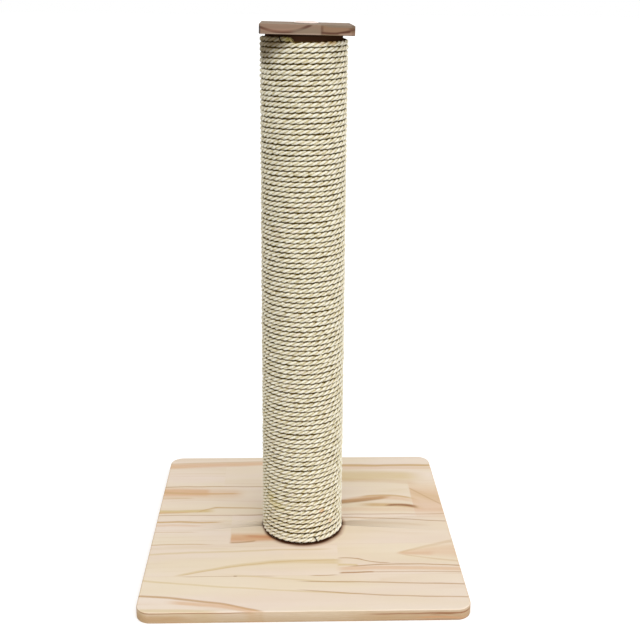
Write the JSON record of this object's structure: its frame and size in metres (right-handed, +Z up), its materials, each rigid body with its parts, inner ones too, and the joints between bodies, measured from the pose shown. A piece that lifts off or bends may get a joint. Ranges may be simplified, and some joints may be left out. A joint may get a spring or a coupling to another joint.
{
  "type": "cat scratching post",
  "caption": "Upright cat scratching post: a tube wound with one layer of sisal rope on a square pine base board, with a small square pine cap on top.",
  "frame": {"origin": "middle of the base board's underside, where the part rests", "axes": "+Z up along the post, -Y towards the front, +X to the right of the front"},
  "size_m": [0.38, 0.38, 0.6541],
  "materials": {
    "pine_board": "satin, fine sanded, bare or clear oiled",
    "pine_cap": "satin, fine sanded, in shade",
    "plug_wood": "matte, sawn",
    "cardboard": "matte, spirally wound cardboard",
    "sisal": "matte, twisted plant fibre",
    "zinced_steel": "zinc plated",
    "cover_plastic": "satin"
  },
  "bodies": {
    "root": {"base_board": "pine_board", "base_washer": "zinced_steel", "base_bolt": "zinced_steel", "base_screw_left": "zinced_steel", "base_screw_right": "zinced_steel", "post_tube": "cardboard", "bottom_plug": "plug_wood", "top_plug": "plug_wood", "tee_nut": "zinced_steel", "plug_nail_bottom_1": "zinced_steel", "plug_nail_bottom_2": "zinced_steel", "plug_nail_bottom_3": "zinced_steel", "plug_nail_top_1": "zinced_steel", "plug_nail_top_2": "zinced_steel", "plug_nail_top_3": "zinced_steel", "sisal_rope": "sisal", "rope_staple_bottom": "zinced_steel", "rope_staple_front": "zinced_steel", "rope_staple_top": "zinced_steel", "cap_board": "pine_cap", "cap_screw": "zinced_steel", "cap_screw_cover": "cover_plastic"}
  },
  "joints": []
}
